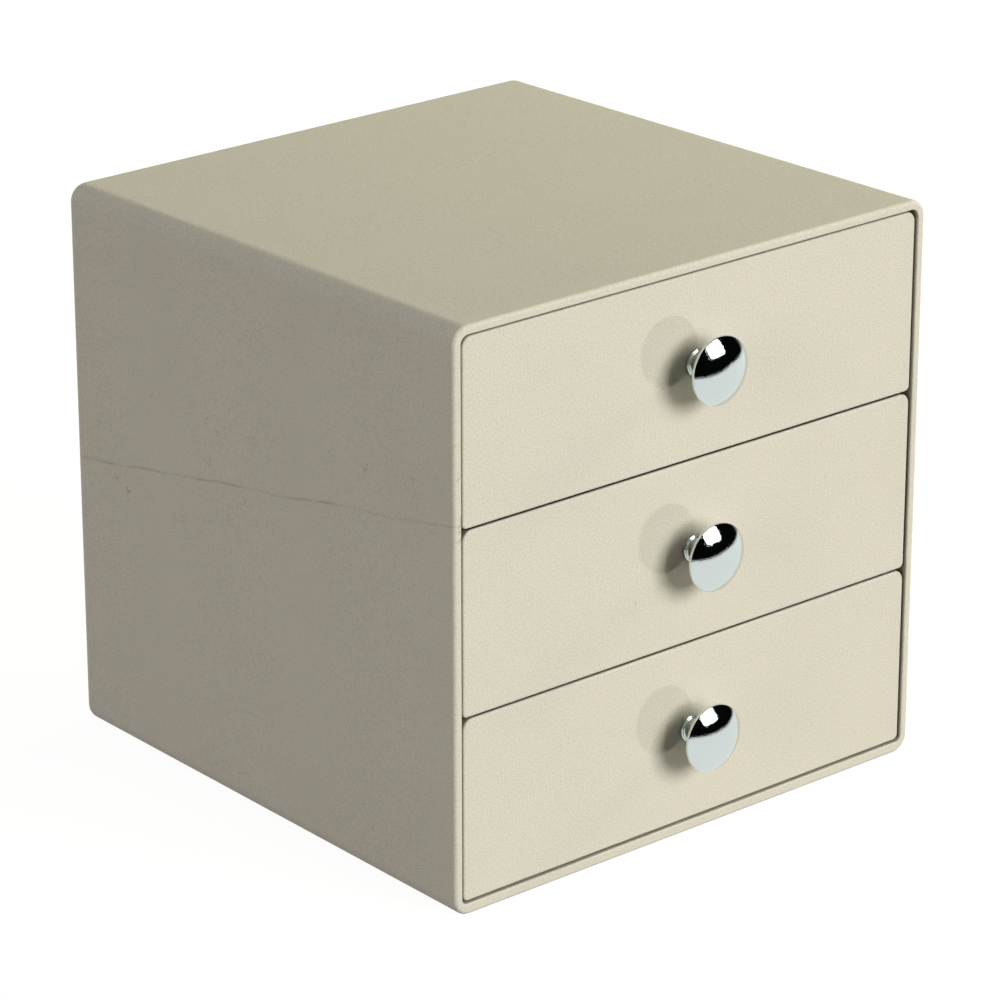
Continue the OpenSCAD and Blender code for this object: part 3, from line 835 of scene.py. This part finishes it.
class ORGANIZER_OT_set_stage(bpy.types.Operator):
    """Set the camera, the paper sweep and the studio light"""

    bl_idname = "organizer.set_stage"
    bl_label = "Set stage"

    def execute(self, context):
        settings = context.scene.organizer_stage
        self.add_camera(context, settings)
        self.add_paper(settings)
        self.light_room(context, settings)
        self.add_lamps(settings)
        context.scene.view_settings.view_transform = "Standard"
        return {"FINISHED"}

    def add_camera(self, context, settings):
        """The camera, looking down at the front and left side."""
        back = direction(settings.azimuth, settings.elevation)
        data = bpy.data.cameras.new("camera")
        data.lens = settings.lens
        data.sensor_width = SENSOR_WIDTH
        camera = bpy.data.objects.new("camera", data)
        camera.location = Vector((settings.target_x, 0, settings.target_z)) + back * settings.distance
        camera.rotation_euler = (-back).to_track_quat("-Z", "Y").to_euler()
        context.scene.collection.objects.link(camera)
        context.scene.camera = camera

    def add_paper(self, settings):
        """A sweep of pale paper, turned up at its front edge, that takes the organizer's shadow."""
        size = settings.paper_size
        bpy.ops.object.select_all(action="DESELECT")
        bpy.ops.mesh.primitive_plane_add(size=size, location=(0, size / 2 - settings.paper_front, 0))
        bpy.ops.object.transform_apply(location=True)
        paper = bpy.context.object
        paper.name = "paper_sweep"
        with editing(paper):
            pick(paper, "EDGE", lambda e: all(v.co.y < NEAR - settings.paper_front for v in e.verts))
            bpy.ops.mesh.extrude_region_move(TRANSFORM_OT_translate={"value": (0, 0, settings.paper_lip)})
        # It lies square to the camera
        paper.rotation_euler.z = settings.azimuth
        bpy.ops.object.transform_apply(rotation=True)
        material, tree = new_material("pale_paper")
        # The fibres of the paper make its tone a little uneven
        place = add_node(tree, "ShaderNodeTexCoord").outputs["Object"]
        fibre = add_node(tree, "ShaderNodeTexNoise", {"Vector": place, "Scale": 1 / FIBRE})
        tone = add_node(tree, "ShaderNodeMix", {0: fibre, 6: settings.paper, 7: settings.paper_fibre},
                        data_type="RGBA")
        matt = add_node(tree, "ShaderNodeBsdfDiffuse", {"Color": tone})
        # White to the camera, and bright in the chrome; its shadows stay
        path = add_node(tree, "ShaderNodeLightPath")
        gleam = add_node(tree, "ShaderNodeMath", {0: mirrored(tree), 1: settings.paper_gleam},
                         operation="MULTIPLY")
        strength = add_node(tree, "ShaderNodeMath", {
            0: path.outputs["Is Camera Ray"], 1: settings.paper_glow, 2: gleam}, operation="MULTIPLY_ADD")
        glow = add_node(tree, "ShaderNodeEmission", {"Strength": strength})
        both = add_node(tree, "ShaderNodeAddShader", {0: matt, 1: glow})
        add_node(tree, "ShaderNodeOutputMaterial", {"Surface": both})
        paper.data.materials.append(material)
        # The weak light off the table comes from below it
        paper.visible_shadow = False

    def add_lamps(self, settings):
        """A softbox and its card in front, a window on the right, two fills, and light off the table."""
        panel = {"shape": "RECTANGLE", "size": settings.key_width, "size_y": settings.key_height}
        softbox = add_lamp("key_softbox", settings.key_azimuth, settings.key_elevation, settings.key_power,
                           **panel)
        # The chrome mirrors a card above the softbox instead, which lights nothing else
        card = add_lamp("mirrored_card", settings.key_azimuth, settings.card_elevation, settings.card_power,
                        **panel)
        card.visible_diffuse = False
        window = add_lamp("low_window", settings.window_azimuth, settings.window_elevation,
                          settings.window_power, distance=settings.window_distance, shape="RECTANGLE",
                          size=settings.window_width, size_y=settings.window_height,
                          color=settings.window_colour[:3])
        side_fill = add_lamp("left_fill", settings.fill_azimuth, settings.fill_elevation,
                             settings.fill_power, size=settings.key_width, color=settings.fill_colour[:3])
        rear_fill = add_lamp("back_fill", settings.back_azimuth, settings.back_elevation,
                             settings.back_power, size=settings.key_width)
        kick = add_lamp("table_kick", settings.kick_azimuth, settings.kick_elevation, settings.kick,
                        kind="SUN", angle=settings.kick_spread)
        for lamp in (softbox, window, side_fill, rear_fill, kick):
            lamp.visible_glossy = False

    def light_room(self, context, settings):
        """White to the camera; as light, pale walls behind and beside the organizer and a dark front."""
        world = bpy.data.worlds.new("studio")
        context.scene.world = world
        world.use_nodes = True
        tree = world.node_tree
        tree.nodes.clear()
        towards = add_node(tree, "ShaderNodeTexCoord").outputs["Generated"]
        apart = add_node(tree, "ShaderNodeSeparateXYZ", {"Vector": towards})
        # The walls begin just in front of the organizer's sides, and fade out 37 to 58 degrees up
        behind = add_node(tree, "ShaderNodeMapRange", {
            "Value": apart.outputs["Y"], "From Min": -0.1, "From Max": 0.25},
            interpolation_type="SMOOTHSTEP")
        walls = add_node(tree, "ShaderNodeMapRange", {
            "Value": apart.outputs["Z"], "From Min": 0.85, "From Max": 0.6},
            interpolation_type="SMOOTHSTEP")
        pale = add_node(tree, "ShaderNodeMath", {0: behind, 1: walls}, operation="MULTIPLY")
        brightness = add_node(tree, "ShaderNodeMapRange", {
            "Value": mirrored(tree), "To Min": settings.room, "To Max": settings.room_gleam})
        level = add_node(tree, "ShaderNodeMapRange", {
            "Value": pale, "To Min": settings.room_front, "To Max": brightness})
        path = add_node(tree, "ShaderNodeLightPath")
        strength = add_node(tree, "ShaderNodeMix", {0: path.outputs["Is Camera Ray"], 2: level, 3: 1.0})
        sky = add_node(tree, "ShaderNodeBackground", {"Color": linear("FFFFFF"), "Strength": strength})
        add_node(tree, "ShaderNodeOutputWorld", {"Surface": sky})


class ORGANIZER_PT_panel(bpy.types.Panel):
    """The organizer's operators and sizes in the sidebar"""

    bl_idname = "ORGANIZER_PT_panel"
    bl_label = "Desktop organizer"
    bl_space_type = "VIEW_3D"
    bl_region_type = "UI"
    bl_category = "Organizer"

    def draw(self, context):
        for operator, group in STEPS:
            self.layout.operator(operator.bl_idname)
            settings = getattr(context.scene, group, None) if group else None
            for name in (settings.__annotations__ if settings else ()):
                self.layout.prop(settings, name)


STEPS = (
    (ORGANIZER_OT_mould_case, "organizer_case"),
    (ORGANIZER_OT_mould_drawers, "organizer_drawers"),
    (ORGANIZER_OT_turn_knobs, "organizer_knobs"),
    (ORGANIZER_OT_plate_fasteners, None),
    (ORGANIZER_OT_set_stage, "organizer_stage"),
)
GROUPS = {"organizer_case": CaseSizes, "organizer_drawers": DrawerSizes, "organizer_knobs": KnobSizes,
          "organizer_stage": StageSettings}
CLASSES = (*GROUPS.values(), *(operator for operator, group in STEPS), ORGANIZER_PT_panel)


def register():
    for cls in CLASSES:
        bpy.utils.register_class(cls)
    for name, group in GROUPS.items():
        setattr(bpy.types.Scene, name, PointerProperty(type=group))


def unregister():
    for name in GROUPS:
        delattr(bpy.types.Scene, name)
    for cls in reversed(CLASSES):
        bpy.utils.unregister_class(cls)


def main():
    register()
    bpy.ops.organizer.mould_case()
    bpy.ops.organizer.mould_drawers()
    bpy.ops.organizer.turn_knobs()
    bpy.ops.organizer.plate_fasteners()
    bpy.ops.organizer.set_stage()


if __name__ == "__main__":
    main()
